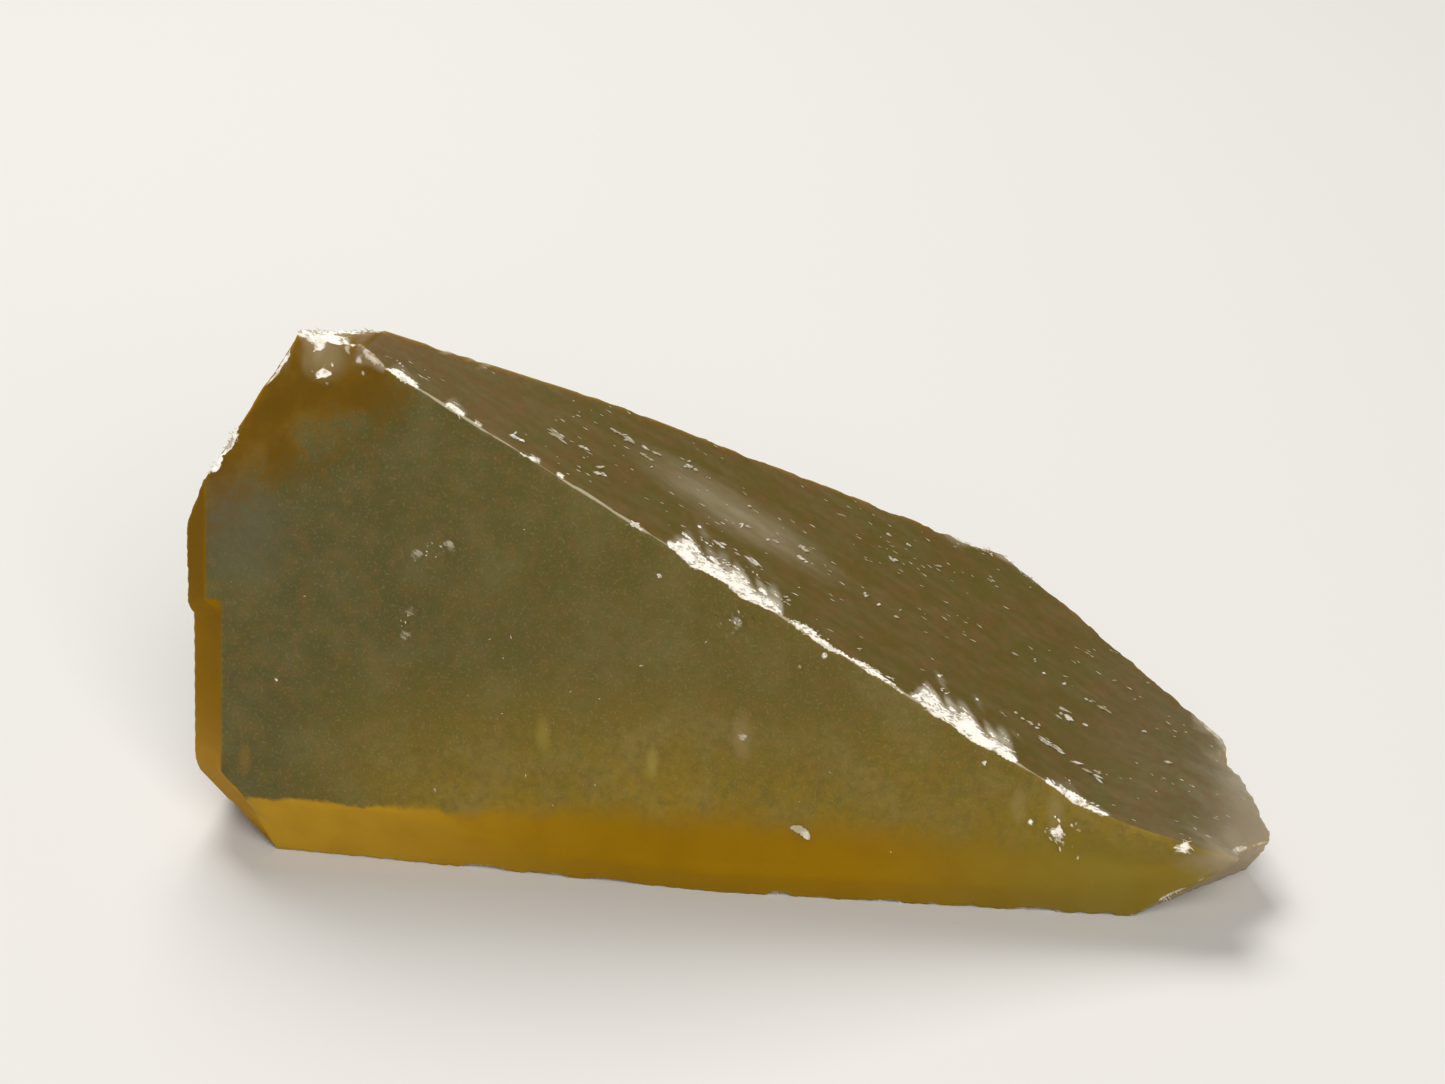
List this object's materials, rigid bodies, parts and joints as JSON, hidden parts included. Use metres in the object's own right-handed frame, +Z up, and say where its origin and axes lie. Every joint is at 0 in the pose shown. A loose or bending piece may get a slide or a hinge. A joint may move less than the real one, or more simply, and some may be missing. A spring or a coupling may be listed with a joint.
{
  "type": "calcite specimen",
  "caption": "Honey-coloured calcite crystal fragment lying on a flat underside, wedge-shaped, with a long chipped ridge and a thin tip.",
  "frame": {"origin": "middle of the body's box, on the flat underside it rests on", "axes": "+X from the thick end towards the thin tip, +Z up; -Y is the large steep face"},
  "size_m": [0.0606, 0.0247, 0.0294],
  "materials": {
    "calcite": "satin, translucent honey-brown, with white crushed edges"
  },
  "bodies": {
    "root": {"calcite_crystal": "calcite"}
  },
  "joints": []
}
